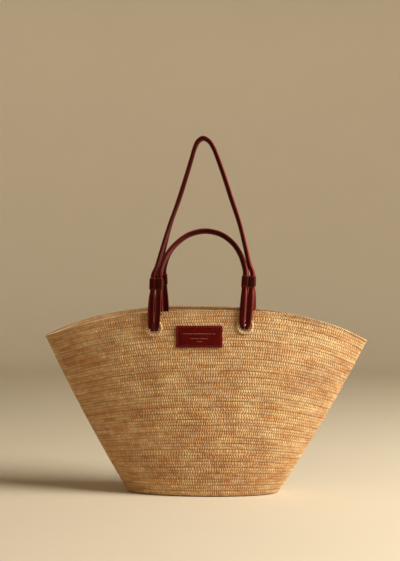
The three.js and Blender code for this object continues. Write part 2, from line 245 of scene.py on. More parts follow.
def grid_faces(rows, columns, wrap_rows=False, wrap_columns=True):
    """Quads that join each point of a grid to the next in its row and its column."""
    row = np.arange(rows if wrap_rows else rows - 1)[:, None]
    column = np.arange(columns if wrap_columns else columns - 1)[None, :]
    below, above = row * columns, (row + 1) % rows * columns
    after = (column + 1) % columns
    return np.stack([below + column, below + after, above + after, above + column], -1).reshape(-1, 4)


def grid_uv(u, v):
    """Coordinates of each corner of the quads of grid_faces. u and v have one more row or column than the
    points where the grid wraps, so that a pattern doesn't run back over the last quad."""
    corners = [(0, 0), (0, 1), (1, 1), (1, 0)]
    rows, columns = u.shape[0] - 1, u.shape[1] - 1
    picked = [np.stack([u[r:r + rows, c:c + columns], v[r:r + rows, c:c + columns]], -1) for r, c in corners]
    return np.stack(picked, 2).reshape(-1, 2)


def turned_in(points, faces):
    """Whether the faces point inwards: the solid's volume, the sum of its corner pyramids, is negative."""
    a, b, c, d = (points[faces[:, i]] for i in range(4))
    volume = np.sum(a * np.cross(b, c)) + np.sum(a * np.cross(c, d))
    return volume < 0


def make_piece(
    name, points, faces, material, nodes, caps=(), uv=None, fields=None, merge=False, flat=(),
):
    """A mesh object from points in millimetres, quads and caps with any number of corners, smooth but for the
    quads named flat."""
    points = points.reshape(-1, 3)
    turned = turned_in(points, faces)
    corners = faces[:, ::-1] if turned else faces
    rings = [list(cap)[::-1] if turned else list(cap) for cap in caps]
    loops = np.concatenate([corners.ravel(), *[np.array(ring) for ring in rings]]).astype(np.int32)
    sizes = np.array([4] * len(corners) + [len(ring) for ring in rings])
    mesh = bpy.data.meshes.new(name)
    mesh.vertices.add(len(points))
    mesh.vertices.foreach_set("co", (points * MM).astype(np.float32).ravel())
    mesh.loops.add(len(loops))
    mesh.loops.foreach_set("vertex_index", loops)
    mesh.polygons.add(len(sizes))
    mesh.polygons.foreach_set("loop_start", np.concatenate([[0], np.cumsum(sizes)[:-1]]).astype(np.int32))
    mesh.polygons.foreach_set("use_smooth", ~np.isin(np.arange(len(sizes)), flat))
    mesh.update(calc_edges=True)
    if uv is not None:
        ordered = uv.reshape(-1, 4, 2)[:, ::-1] if turned else uv.reshape(-1, 4, 2)
        spare = np.zeros((len(loops) - len(corners) * 4, 2))
        flat = np.concatenate([ordered.reshape(-1, 2), spare]).astype(np.float32)
        mesh.uv_layers.new(name="strands").data.foreach_set("uv", flat.ravel())
    for key, values in (fields or {}).items():
        attribute = mesh.attributes.new(key, "FLOAT", "POINT")
        attribute.data.foreach_set("value", np.asarray(values, np.float32).ravel())
    if merge:
        whole = bmesh.new()
        whole.from_mesh(mesh)
        bmesh.ops.remove_doubles(whole, verts=whole.verts, dist=MERGE_DISTANCE)
        whole.to_mesh(mesh)
        whole.free()
    mesh.validate()
    mesh.materials.append(material)
    piece = bpy.data.objects.new(name, mesh)
    bpy.context.scene.collection.objects.link(piece)
    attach(piece, "root")
    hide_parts(*nodes)
    return piece


# Materials

def linear(text):
    """Linear colour of an sRGB hex value."""
    shares = [int(text[i:i + 2], 16) / 255 for i in (1, 3, 5)]
    return tuple(s / 12.92 if s <= 0.04045 else ((s + 0.055) / 1.055) ** 2.4 for s in shares)


def new_material(name):
    material = bpy.data.materials.new(name)
    material.use_nodes = True
    return material, material.node_tree


def add_node(tree, kind, inputs=None, **settings):
    """Adds a node, or takes the one named, sets it, and gives each input a value or an output's link."""
    node = tree.nodes.get(kind) or tree.nodes.new(kind)
    for key, value in settings.items():
        setattr(node, key, value)
    for key, value in (inputs or {}).items():
        if isinstance(value, bpy.types.NodeSocket):
            tree.links.new(value, node.inputs[key])
        else:
            node.inputs[key].default_value = value
    return node


# Sockets of a Mix node that mixes colours
MIX_FACTOR, MIX_A, MIX_B, MIX_RESULT = 0, 6, 7, 2
GLOSS_RANGE = 0.16


def solid(colour):
    return (*colour, 1.0)


def raffia_material():
    """Raffia palm leaf, split and crocheted: dry golden ribbons, matt with a faint gloss along the fibres,
    every stitch from a slightly different leaf, with painted shade darkening it down between the stitches."""
    look = bpy.context.scene.basket_bag_weave
    material, tree = new_material("Raffia_Palm_Crocheted")
    tone = add_node(tree, "ShaderNodeAttribute", attribute_name="tone")
    relief = add_node(tree, "ShaderNodeAttribute", attribute_name="relief")
    strands = add_node(tree, "ShaderNodeUVMap", uv_map="strands")
    place = add_node(tree, "ShaderNodeTexCoord")
    patches = add_node(tree, "ShaderNodeTexNoise", {
        "Vector": place.outputs["Object"], "Scale": 1 / 0.055, "Detail": 3.0, "Roughness": 0.6,
    })
    stretched = add_node(tree, "ShaderNodeMapping", {"Vector": strands.outputs["UV"], "Scale": (2.2, 0.35, 1)})
    fibres = add_node(tree, "ShaderNodeTexNoise", {
        "Vector": stretched.outputs["Vector"], "Scale": 1.0, "Detail": 3.0, "Roughness": 0.65,
    })
    # Each share runs from one value to the other as its source does
    patch_share, fibre_share, gap_shade_share, rough = (
        add_node(tree, "ShaderNodeMapRange", {
            "Value": source.outputs["Fac"], "From Min": low, "From Max": high, "To Min": first, "To Max": last,
        }).outputs["Result"]
        for source, low, high, first, last in (
            (patches, 0.42, 0.68, 0.0, 0.36), (fibres, 0.35, 0.7, 0.3, 0.0),
            (relief, 0.04, 0.9, 0.92, 0.0), (fibres, 0.3, 0.7, 0.5, 0.75),
        )
    )
    # The last mix paints shade into the gaps and holes between the stitches: the lower the relief, the nearer
    # the colour comes to the gap shade.
    paint = solid(look.raffia_mid)
    for share, colour in (
        (tone.outputs["Fac"], look.raffia_pale), (patch_share, look.raffia_brown),
        (fibre_share, look.raffia_brown), (gap_shade_share, look.raffia_gap_shade),
    ):
        paint = add_node(tree, "ShaderNodeMix", {
            MIX_FACTOR: share, MIX_A: paint, MIX_B: solid(colour),
        }, data_type="RGBA").outputs[MIX_RESULT]
    bump = add_node(tree, "ShaderNodeBump", {
        "Height": fibres.outputs["Fac"], "Strength": 0.7, "Distance": 0.35 * MM,
    })
    add_node(tree, "Principled BSDF", {
        "Base Color": paint, "Roughness": rough,
        "Normal": bump.outputs["Normal"], "IOR": 1.45, "Sheen Weight": 0.12, "Sheen Roughness": 0.5,
    })
    return material


def leather_material(name, colour, rubbed_and_lit_colour, gloss):
    """Vegetable tanned calf, dyed burgundy and waxed: fine pores 0.9 mm apart, soft creases, a satin face
    and edges burnished paler where hands and folds rub them. The same paler colour also paints a broad
    highlight along the handles' outer side."""
    material, tree = new_material(name)
    place = add_node(tree, "ShaderNodeTexCoord")
    wear_and_highlight = add_node(tree, "ShaderNodeAttribute", attribute_name="wear_and_highlight")
    pores = add_node(tree, "ShaderNodeTexVoronoi", {
        "Vector": place.outputs["Object"], "Scale": 1 / (0.9 * MM),
    })
    clouds = add_node(tree, "ShaderNodeTexNoise", {
        "Vector": place.outputs["Object"], "Scale": 1 / 0.014, "Detail": 4.0, "Roughness": 0.6,
    })
    darker = tuple(share * 0.55 for share in colour)
    cloud_share = add_node(tree, "ShaderNodeMapRange", {
        "Value": clouds.outputs["Fac"], "From Min": 0.35, "From Max": 0.65,
    })
    dyed = add_node(tree, "ShaderNodeMix", {
        MIX_FACTOR: cloud_share.outputs["Result"], MIX_A: solid(colour), MIX_B: solid(darker),
    }, data_type="RGBA")
    # Paler at the burnished edges, and a painted highlight along the handles' outer side
    rubbed_and_lit = add_node(tree, "ShaderNodeMix", {
        MIX_FACTOR: wear_and_highlight.outputs["Fac"], MIX_A: dyed.outputs[MIX_RESULT], MIX_B: solid(rubbed_and_lit_colour),
    }, data_type="RGBA")
    rough = add_node(tree, "ShaderNodeMapRange", {
        "Value": clouds.outputs["Fac"], "From Min": 0.3, "From Max": 0.7,
        "To Min": gloss, "To Max": gloss + GLOSS_RANGE,
    })
    grain = add_node(tree, "ShaderNodeBump", {
        "Height": pores.outputs["Distance"], "Strength": 0.35, "Distance": 0.12 * MM,
    })
    creases = add_node(tree, "ShaderNodeBump", {
        "Height": clouds.outputs["Fac"], "Strength": 0.3, "Distance": 0.5 * MM,
        "Normal": grain.outputs["Normal"],
    })
    add_node(tree, "Principled BSDF", {
        "Base Color": rubbed_and_lit.outputs[MIX_RESULT], "Roughness": rough.outputs["Result"],
        "Normal": creases.outputs["Normal"], "IOR": 1.5, "Specular IOR Level": 0.36,
        "Specular Tint": solid(linear("#d8776c")),
    })
    return material


def nickel_material():
    """Nickel plated brass, pressed and tumbled: bright, with faint scuffs that cloud its gloss."""
    material, tree = new_material("Nickel_Plated_Brass")
    place = add_node(tree, "ShaderNodeTexCoord")
    haze = add_node(tree, "ShaderNodeTexNoise", {
        "Vector": place.outputs["Object"], "Scale": 1 / (1.5 * MM), "Detail": 3.0,
    })
    rough = add_node(tree, "ShaderNodeMapRange", {
        "Value": haze.outputs["Fac"], "From Min": 0.3, "From Max": 0.7, "To Min": 0.12, "To Max": 0.26,
    })
    tint = add_node(tree, "ShaderNodeMix", {
        MIX_FACTOR: haze.outputs["Fac"], MIX_A: solid(linear("#ece6da")), MIX_B: solid(linear("#d9d0c0")),
    }, data_type="RGBA")
    add_node(tree, "Principled BSDF", {
        "Base Color": tint.outputs[MIX_RESULT], "Metallic": 1.0, "Roughness": rough.outputs["Result"],
    })
    return material


def thread_material(name, colour):
    """Waxed polyester thread, two plies 0.5 mm apart along the stitch, with a soft gloss."""
    material, tree = new_material(name)
    place = add_node(tree, "ShaderNodeTexCoord")
    plies = add_node(tree, "ShaderNodeTexNoise", {
        "Vector": place.outputs["Object"], "Scale": 1 / (0.5 * MM), "Detail": 1.0,
    })
    twist = add_node(tree, "ShaderNodeMix", {
        MIX_FACTOR: plies.outputs["Fac"], MIX_A: solid(colour), MIX_B: solid(tuple(s * 0.6 for s in colour)),
    }, data_type="RGBA")
    bump = add_node(tree, "ShaderNodeBump", {
        "Height": plies.outputs["Fac"], "Strength": 0.5, "Distance": 0.1 * MM,
    })
    add_node(tree, "Principled BSDF", {
        "Base Color": twist.outputs[MIX_RESULT], "Roughness": 0.45, "Normal": bump.outputs["Normal"],
    })
    return material


def shared_material(name, make):
    return bpy.data.materials.get(name) or make()


def raffia():
    return shared_material("Raffia_Palm_Crocheted", raffia_material)


def handle_leather():
    look = bpy.context.scene.basket_bag_leather
    name = "Calf_Leather_Waxed"
    return shared_material(name, lambda: leather_material(name, look.strap_colour, look.edge_and_highlight_colour, 0.34))


def label_leather():
    look = bpy.context.scene.basket_bag_leather
    name = "Calf_Leather_Smooth"
    return shared_material(name, lambda: leather_material(name, look.label_colour, look.edge_and_highlight_colour, 0.4))


def thread():
    look = bpy.context.scene.basket_bag_leather
    name = "Polyester_Thread_Waxed"
    return shared_material(name, lambda: thread_material(name, look.thread_colour))


# Crochet

STITCH_WIDTH = 3.9
COLUMNS_PER_STITCH = 4
# Half of the relief is the rib, and the notches next to the gaps reach this share of a course
RIB_SHARE, RIB_POWER, NOTCH = 0.5, 2.4, 0.18
# The wall has 62 courses of stitches, made in bands: the first course of each and the one after its last
COURSE_COUNT = 62
BANDS = [("foot", 0, 16), ("lower", 16, 30), ("belly", 30, 42), ("shoulder", 42, 52), ("mouth", 52, 62)]
# Where the rings of points lie in a course, close together next to the gap below it and above it
OUTER_SAMPLES = np.array([0, 0.16, 0.5, 0.84])
INNER_SAMPLES = np.array([0, 0.5])
TABLE_STEPS, RING_STEPS = 4096, 720
# How far a course wanders, in stitches, and where in it the shift gives way to the next course's
WANDER, SHIFT_FROM = 0.9, 0.8
# Depth of the gap below an even and an odd course, and how much it fades and differs along them
GAP_EVEN, GAP_ODD, GAP_FADING, GAP_SPREAD = 1.0, 0.5, 0.28, 0.12
LEAST_FULL, INNER_LEAST = 0.78, 0.4
# A stitch's tone: its own dye, the least, the slow drift along a course and the spread between courses
TONE_DYE, TONE_LEAST, TONE_DRIFT, TONE_SPREAD = 0.44, 0.28, 0.2, 0.1


def even_angles(share, rise):
    """Angle at which this share of the way round the wall is reached, from a table of the lengths."""
    angles = np.linspace(0, 2 * np.pi, TABLE_STEPS + 1)
    ring = wall_point(angles, np.full_like(angles, rise))
    lengths = np.concatenate([[0], np.cumsum(np.linalg.norm(np.diff(ring, axis=0), axis=1))])
    turns = np.floor(share)
    return np.interp((share - turns) * lengths[-1], lengths, angles) + turns * 2 * np.pi


def ring_length(rise):
    """Length round the wall at this rise."""
    angles = np.linspace(0, 2 * np.pi, RING_STEPS + 1)
    ring = wall_point(angles, np.full_like(angles, rise))
    return np.sum(np.linalg.norm(np.diff(ring, axis=0), axis=1))


def slow_waves(share, seed, count=7, lowest=2):
    """Sum of cosines of whole numbers of turns with random phases, between about -1 and 1."""
    draw = np.random.default_rng(seed)
    total = np.zeros_like(share)
    for turns in range(lowest, lowest + count):
        total = total + np.cos(2 * np.pi * turns * share + draw.uniform(0, 2 * np.pi))
    return total / math.sqrt(count)


def stitches_round(rise):
    return round(ring_length(rise) / STITCH_WIDTH)


def crochet_relief(phase, height, below, above):
    """Relief of a stitch, 0 at the bottom of the holes and 1 on top: half of it is a rounded rib that stands
    upright, the other half a plain course with a notch along the gap below it and above it, deepest between
    two stitches."""
    aside = np.abs(2 * phase - 1)
    rib = 1 - aside**RIB_POWER
    course = 1 - below * np.exp(-((height / NOTCH) ** 2)) - above * np.exp(-(((1 - height) / NOTCH) ** 2))
    return RIB_SHARE * rib + (1 - RIB_SHARE) * mix(1, course, 0.5 + 0.5 * aside)


def wall_band(name, first, last, seed):
    """A closed band of courses: the outer face from its lowest course to its highest, then the inner face
    back down. Each point is the wall's plus its normal times the relief, which on the inner face fades out at
    the band's ends. Courses lean to the right and to the left by turns, and each is shifted by its own share
    of a stitch."""
    look = bpy.context.scene.basket_bag_weave
    draw = np.random.default_rng(seed)
    middle = (first + last) / 2 / COURSE_COUNT
    stitches = stitches_round(middle)
    columns = stitches * COLUMNS_PER_STITCH
    courses = np.arange(first, last)
    outer = np.append((courses[:, None] + OUTER_SAMPLES).ravel(), last)
    inner = np.append((courses[:, None] + INNER_SAMPLES).ravel(), last)[::-1]
    if first == 0:
        lowest = FLOOR / HEIGHT * COURSE_COUNT
        inner = np.append(inner[inner > lowest], lowest)
    level = np.concatenate([outer, inner])[:, None]
    is_outer = np.arange(len(level))[:, None] < len(outer)
    course = np.clip(np.floor(level + 1e-9), first, last - 1).astype(int)
    height = level - course
    own = course[:, 0] - first
    column = np.arange(columns)[None, :]
    share = column / columns
    count = last - first
    wander = np.concatenate([slow_waves(share, seed * 100 + i, 5, 3) for i in range(count + 1)])
    shift = draw.uniform(-0.5, 0.5, (count + 1, 1)) + WANDER * wander
    moved = mix(shift[own], shift[own + 1], smooth_step(SHIFT_FROM, 1.0, height))
    lean = np.where(course % 2 == 0, look.stitch_lean, -look.stitch_lean)
    moved = moved + lean * (height - 0.5)
    moved = moved * smooth_step(0, 0.25, np.minimum(level - first, last - level))
    angle = even_angles(share + moved / stitches, middle)
    rise = np.broadcast_to(level / COURSE_COUNT, angle.shape)
    stitch = column[0] // COLUMNS_PER_STITCH
    phase = (column % COLUMNS_PER_STITCH) / COLUMNS_PER_STITCH
    gap = np.where((np.arange(first, last + 1) % 2 == 0)[:, None], GAP_EVEN, GAP_ODD)
    fading = np.concatenate([slow_waves(share, seed * 30 + i, 12, 5) for i in range(count + 1)])
    uneven = draw.normal(0, GAP_SPREAD, (count + 1, stitches))[:, stitch]
    gap = np.clip(gap + GAP_FADING * fading + uneven, 0.1, 1)
    relief = crochet_relief(phase, height, gap[own], gap[own + 1])
    full = draw.uniform(LEAST_FULL, 1.0, (count, stitches))[own][:, stitch]
    crest = np.abs(np.sin(np.pi * height)) * (0.7 + 0.3 * np.sin(np.pi * phase))
    inside = mix(INNER_LEAST, 1, crest)
    relief = np.where(is_outer, relief * full, inside)
    normal = wall_normal(angle, rise)
    proud, deep = look.stitch_proud / MM, look.stitch_depth / MM
    outside = wall_point(angle, rise) + normal * (proud - deep * (1 - relief))[..., None]
    dip = 0.5 * deep * (1 - relief) * smooth_step(0, 0.5, np.minimum(level - first, last - level))
    within = wall_point(angle, rise, WALL) + normal * dip[..., None]
    points = np.where(is_outer[..., None], outside, within)
    dye = draw.beta(1.3, 1.3, (count, stitches))[own][:, stitch]
    drift = np.concatenate([slow_waves(share, seed * 50 + i, 14, 6) for i in range(count)])[own]
    differing = draw.normal(0, TONE_SPREAD, (count, 1))[own]
    tone = np.clip(TONE_DYE * dye + TONE_LEAST + TONE_DRIFT * drift + differing, 0, 1)
    around = ring_length(middle) * np.arange(columns + 1) / columns
    up = np.append(level[:, 0], first) * HEIGHT / COURSE_COUNT
    uv = grid_uv(*np.broadcast_arrays(around[None, :], up[:, None]))
    faces = grid_faces(len(level), columns, wrap_rows=True)
    edges = np.arange(len(faces)).reshape(len(level), columns)[[len(outer) - 1, -1]]
    return make_piece(
        f"basket_rows_{name}", points, faces, raffia(), ["basket_body"],
        uv=uv, fields={"tone": tone, "relief": relief}, flat=edges,
    )


EYELET_SIDES = 48


def eyelet_cutter():
    """Four round rods, one through the middle of each eyelet, as one mesh."""
    radius = BORE / 2 + BARREL_WALL + GAP
    turn = np.linspace(0, 2 * np.pi, EYELET_SIDES, endpoint=False)
    across, up = radius * np.cos(turn)[None, :], radius * np.sin(turn)[None, :]
    reach = np.array([-2 * WALL, 2 * WALL])[:, None]
    rods = [on_wall(eyelet_axes(pair), across, up, reach) for pair in PAIRS]
    mesh = bpy.data.meshes.new("eyelet_cutter")
    faces, points = [], np.concatenate([rod.reshape(-1, 3) for rod in rods]) * MM
    for i in range(len(rods)):
        start = i * 2 * len(turn)
        faces += (grid_faces(2, len(turn)) + start).tolist()
        faces += [list(range(start, start + len(turn))), list(range(start + len(turn), start + 2 * len(turn)))]
    mesh.from_pydata(points.tolist(), [], faces)
    whole = bmesh.new()
    whole.from_mesh(mesh)
    bmesh.ops.recalc_face_normals(whole, faces=whole.faces)
    whole.to_mesh(mesh)
    whole.free()
    cutter = bpy.data.objects.new("eyelet_cutter", mesh)
    bpy.context.scene.collection.objects.link(cutter)
    return cutter


def cut_eyelets(piece):
    """Takes the four rods out of the piece and keeps the result as its mesh."""
    cutter = eyelet_cutter()
    modifier = piece.modifiers.new("eyelets", "BOOLEAN")
    modifier.operation = "DIFFERENCE"
    modifier.solver = "EXACT"
    modifier.object = cutter
    bpy.context.view_layer.update()
    evaluated = piece.evaluated_get(bpy.context.evaluated_depsgraph_get())
    whole, cut = piece.data, bpy.data.meshes.new_from_object(evaluated)
    piece.modifiers.clear()
    piece.data = cut
    bpy.data.meshes.remove(whole)
    rods = cutter.data
    bpy.data.objects.remove(cutter)
    bpy.data.meshes.remove(rods)


BASE_SAMPLES = np.array([0, 0.3, 0.7])
# Depth of the gaps between the base's rounds, as a share and in millimetres
BASE_GAP, BASE_DENT = 0.8, 0.9


def basket_base(stitches=110, rounds=12, seed=5):
    """Oval rounds about a centre line: half the width is the outline's less a share of its half depth, and
    half the depth is that share. The underside runs from the line out to the wall, the inside back to it."""
    columns = stitches * COLUMNS_PER_STITCH
    under = np.append((np.arange(rounds)[:, None] + BASE_SAMPLES).ravel(), rounds) / rounds
    share = np.concatenate([under, under[::-1]])[:, None]
    is_under = np.arange(len(share))[:, None] < len(under)
    angle = even_angles(np.arange(columns) / columns, 0.0)[None, :]
    low = wall_point(angle, np.zeros_like(angle))
    high = wall_point(angle, np.full_like(angle, FLOOR / HEIGHT), WALL)
    outline = np.where(is_under[..., None], low, high)
    depth = np.where(is_under, np.abs(low[..., 1]).max(), np.abs(high[..., 1]).max())
    width = np.where(is_under, np.abs(low[..., 0]).max(), np.abs(high[..., 0]).max())
    centre = (width - depth) / width
    x = outline[..., 0] * (share + (1 - share) * centre)
    y = outline[..., 1] * share
    phase = (np.arange(columns) % COLUMNS_PER_STITCH / COLUMNS_PER_STITCH)[None, :]
    height = share * rounds - np.floor(share * rounds - 1e-9)
    relief = crochet_relief(phase, height, BASE_GAP, BASE_GAP)
    edge = smooth_step(0, 0.04, 1 - share)
    dent = BASE_DENT * (1 - relief) * edge
    z = np.where(is_under, dent, FLOOR - dent)
    draw = np.random.default_rng(seed)
    dye = draw.beta(2, 2, (rounds + 1, stitches))
    row = np.minimum(np.floor(share[:, 0] * rounds), rounds).astype(int)
    tone = dye[row][:, np.arange(columns) // COLUMNS_PER_STITCH] * 0.7
    points = np.stack([x, y, z], -1)
    around = ring_length(0.0) * np.arange(columns + 1) / columns
    uv = grid_uv(*np.broadcast_arrays(around[None, :], share * BASE_DEPTH / 2))
    return make_piece(
        "basket_base", points, grid_faces(len(share), columns), raffia(), ["basket_body"],
        uv=uv, fields={"tone": tone, "relief": np.broadcast_to(relief, tone.shape)}, merge=True,
    )


# The cord lies this far below the rim, has this share of the wall's stitches, and is this thick each way
CORD_DROP, CORD_STITCHES = 1.6, 0.84
CORD_OUT, CORD_UP, CORD_SWELL = 2.4, 2.1, 0.4


def rim_cord(seed=9):
    """A cord of slanting loops along the rim: a round section whose radius swells once a stitch, and later the
    further round the section."""
    rise = 1 - CORD_DROP / HEIGHT
    stitches = round(stitches_round(rise) * CORD_STITCHES)
    columns, sides = stitches * COLUMNS_PER_STITCH, 12
    angle = even_angles(np.arange(columns) / columns, rise)[:, None]
    turn = np.linspace(0, 2 * np.pi, sides, endpoint=False)[None, :]
    level = np.full_like(angle, rise)
    centre = wall_point(angle, level, WALL / 2)
    normal = wall_normal(angle, level)
    around = unit(wall_point(angle + 1e-3, level) - wall_point(angle, level))
    up = unit(np.cross(normal, around))
    up = up * np.sign(up[..., 2:])
    phase = np.arange(columns)[:, None] / COLUMNS_PER_STITCH + turn / (3 * np.pi)
    relief = (0.5 + 0.5 * np.cos(2 * np.pi * phase)) ** 1.2
    draw = np.random.default_rng(seed)
    full = np.repeat(draw.uniform(0.86, 1.06, stitches), COLUMNS_PER_STITCH)[:, None]
    swell = (1 - CORD_SWELL * (1 - relief)) * full
    out, lift = CORD_OUT * swell * np.cos(turn), CORD_UP * swell * np.sin(turn)
    points = centre + normal * out[..., None] + up * lift[..., None]
    tone = np.repeat(draw.beta(2, 2, stitches), COLUMNS_PER_STITCH)[:, None] * np.ones_like(turn)
    length = ring_length(rise) * np.arange(columns + 1) / columns
    uv = grid_uv(*np.broadcast_arrays(np.arange(sides + 1)[None, :] * 0.9, length[:, None]))
    return make_piece(
        "basket_rim_cord", points, grid_faces(columns, sides, wrap_rows=True), raffia(),
        ["basket_body"], uv=uv, fields={"tone": 0.5 + 0.5 * tone, "relief": relief},
    )


RING_COLUMNS, RING_SIDES, RING_SWELL = 6, 14, 0.22


def raffia_ring(pair, stitches=17):
    """A flattened ring round an eyelet, its section turned through slanting swells like the rim cord's."""
    columns, sides = stitches * RING_COLUMNS, RING_SIDES
    spin = np.linspace(0, 2 * np.pi, columns, endpoint=False)[:, None]
    turn = np.linspace(0, 2 * np.pi, sides, endpoint=False)[None, :]
    relief = (0.5 + 0.5 * np.cos(stitches * spin + 1.5 * np.sin(turn) + turn)) ** 0.7
    middle = BORE / 2 + BARREL_WALL + FLANGE_WIDTH + GAP + RING_WIDTH / 2
    swell = 1 - RING_SWELL * (1 - relief)
    reach = middle + RING_WIDTH / 2 * swell * np.cos(turn)
    out = WALL / 2 + GAP + RING_THICK / 2 * (1 + swell * np.sin(turn))
    points = on_wall(eyelet_axes(pair), reach * np.cos(spin), reach * np.sin(spin), out)
    draw = np.random.default_rng(40 + list(PAIRS).index(pair))
    tone = np.repeat(draw.uniform(0.35, 1, stitches), RING_COLUMNS)[:, None] * np.ones_like(turn)
    length = 2 * np.pi * middle * np.arange(columns + 1) / columns
    uv = grid_uv(*np.broadcast_arrays(np.arange(sides + 1)[None, :] * 0.8, length[:, None]))
    return make_piece(
        f"crochet_ring_{pair}", points, grid_faces(columns, sides, wrap_rows=True), raffia(),
        [f"raffia_ring_{pair}"], uv=uv, fields={"tone": tone, "relief": 0.2 + 0.8 * relief},
    )


# Metal

def eyelet_piece(pair):
    """A grommet turned about its own axis: a barrel whose ends roll out into domed flanges."""
    bore, barrel = BORE / 2, BORE / 2 + BARREL_WALL
    flange = barrel + FLANGE_WIDTH
    inner = WALL / 2 + GAP
    outer = inner + FLANGE_THICK
    half = np.array([
        (bore, 0), (bore, inner - 0.6), (bore + 0.12, inner + 0.1), (bore + 0.5, outer - 0.12),
        (bore + 1.1, outer), (flange - 0.7, outer - 0.06), (flange - 0.15, outer - 0.3),
        (flange, inner + 0.3), (flange - 0.1, inner + 0.02), (flange - 0.5, inner), (barrel, inner),
        (barrel, 0),
    ])
    profile = np.concatenate([half, (half * (1, -1))[::-1][1:-1]])
    spin = np.linspace(0, 2 * np.pi, EYELET_SIDES, endpoint=False)[None, :]
    reach, out = profile[:, :1], profile[:, 1:]
    points = on_wall(eyelet_axes(pair), reach * np.cos(spin), reach * np.sin(spin), out + 0 * spin)
    metal = shared_material("Nickel_Plated_Brass", nickel_material)
    return make_piece(
        f"grommet_{pair}", points, grid_faces(len(profile), EYELET_SIDES, wrap_rows=True), metal,
        [f"eyelet_{pair}"],
    )


# Handles

def strap_stations(width):
    """Rows of out, up, aside, width, thickness and roll along one end of a strap: from its tip inside the
    keeper down the inside, round half a circle in the bore, up the outside and through the keeper again."""
    loop_out = WALL / 2 + GAP + RING_THICK + LOOP_SPARE + LOOP_THICK / 2
    loop_aside, loop_width = PAIR_SPACING / 2, PAIR_SPACING - 2 * GAP
    bend_up = loop_out + BORE * (IN_BORE["thick"] / 2 - IN_BORE["low"])
    keeper_low = EYELET_DROP + KEEPER_LIFT
    keeper_high = keeper_low + KEEPER_HEIGHT
    stack_half = (HANDLE_THICK + GAP + LOOP_THICK) / 2
    tip_out, main_out = LOOP_THICK / 2 - stack_half, stack_half - HANDLE_THICK / 2

    def leg(keeper_out, wall_out):
        lift, spread, aside, wide = LOOP_SECTIONS.T
        above = mix(EYELET_DROP, keeper_low, lift - 1)
        up = np.where(lift > 1, above, mix(bend_up, EYELET_DROP, lift))
        out = mix(keeper_out, wall_out, spread)
        flat = np.ones_like(out)
        return np.stack([out, up, loop_aside * aside, loop_width * wide, LOOP_THICK * flat, 0 * flat], -1)

    turn = np.linspace(0, np.pi, BEND_STEPS + 1)
    deep = np.sin(turn)
    bend = np.stack([
        loop_out * np.cos(turn), bend_up - loop_out * deep - LOOP_SAG * np.sin(2 * turn) ** 2,
        mix(loop_aside * AT_BEND["aside"], BORE * IN_BORE["aside"], deep),
        mix(loop_width * AT_BEND["width"], BORE * IN_BORE["width"], deep),
        mix(LOOP_THICK, BORE * IN_BORE["thick"], deep), 0 * turn,
    ], -1)
    tips = [(tip_out, up, loop_aside, width, LOOP_THICK, 0) for up in (keeper_high, keeper_low - KEEPER_RUN)]
    rising = [
        (main_out, up, loop_aside, width, HANDLE_THICK, 1)
        for up in (keeper_low - KEEPER_RUN, keeper_low, keeper_high, keeper_high + KEEPER_RUN)
    ]
    return np.concatenate([
        np.array(tips), leg(tip_out, -loop_out), bend[::-1], leg(main_out, loop_out)[::-1], np.array(rising),
    ])


def smooth_through(knots, values, where):
    """Cubic through the values at the knots whose slope at each is that of its neighbours."""
    slope = np.gradient(values, knots, axis=0)
    i = np.clip(np.searchsorted(knots, where, side="right") - 1, 0, len(knots) - 2)
    span = (knots[i + 1] - knots[i])[:, None]
    s = (where - knots[i])[:, None] / span
    rise, fall = 3 * s**2 - 2 * s**3, 1 - 3 * s**2 + 2 * s**3
    return fall * values[i] + rise * values[i + 1] + span * (
        (s - 2 * s**2 + s**3) * slope[i] + (s**3 - s**2) * slope[i + 1]
    )


def strap_path(side, kind, step=2.6):
    """Points, axes and sizes at even steps along a handle: its two ends and the arch between them. The width
    points to the inside of the arch, and in the loops it follows the wall."""
    facts = KINDS[kind]
    rows = strap_stations(facts["width"])
    ends = []
    for pair in (f"{side}_left", f"{side}_right"):
        axes, end = strap_axes(pair), PAIRS[pair][1]
        places = on_wall(axes, end * facts["away"] * rows[:, 2], rows[:, 1], rows[:, 0])
        hint = np.broadcast_to(-end * axes["across"], places.shape)
        ends.append(np.concatenate([places, rows[:, 3:], hint, np.ones((len(rows), 1))], 1))
    start, stop = ends[0][-1, :3], ends[1][-1, :3]
    outline = facts["outline"]
    top = np.array([facts["aside"], SIDES[side] * facts["split"], HEIGHT + facts["rise"]])
    legs = []
    for foot in (start, stop):
        out, up, lean, right = outline.T
        x = mix(top[0], foot[0], out) + (stop[0] - start[0]) / 2 * right
        legs.append(np.stack([x, mix(foot[1], top[1], lean), mix(foot[2], top[2], up)], -1))
    arch = np.concatenate([legs[0], top[None], legs[1][::-1]])[1:-1]
    sizes = np.broadcast_to([facts["width"], HANDLE_THICK, 1, 0, 0, 0, 0], (len(arch), 7))
    table = np.concatenate([ends[0], np.concatenate([arch, sizes], 1), ends[1][::-1]])
    knots = np.concatenate([[0], np.cumsum(np.linalg.norm(np.diff(table[:, :3], axis=0), axis=1))])
    where = np.linspace(0, knots[-1], round(knots[-1] / step) + 1)
    point = smooth_through(knots, table[:, :3], where)
    other = np.stack([np.interp(where, knots, table[:, i]) for i in range(3, table.shape[1])], -1)
    along = unit(np.gradient(point, where, axis=0))
    inner = np.cross(along, np.broadcast_to([0.0, -1.0, 0.0], along.shape))
    held = other[:, 6:7]
    across = mix(inner, other[:, 3:6], held)
    across = unit(across - along * np.sum(across * along, 1, keepdims=True))
    return {
        "point": point, "along": along, "across": across, "through": np.cross(across, along),
        "width": other[:, 0], "thick": other[:, 1], "roll": other[:, 2], "where": where,
    }


SECTION_POWER, SECTION_SIDES = 0.78, 28
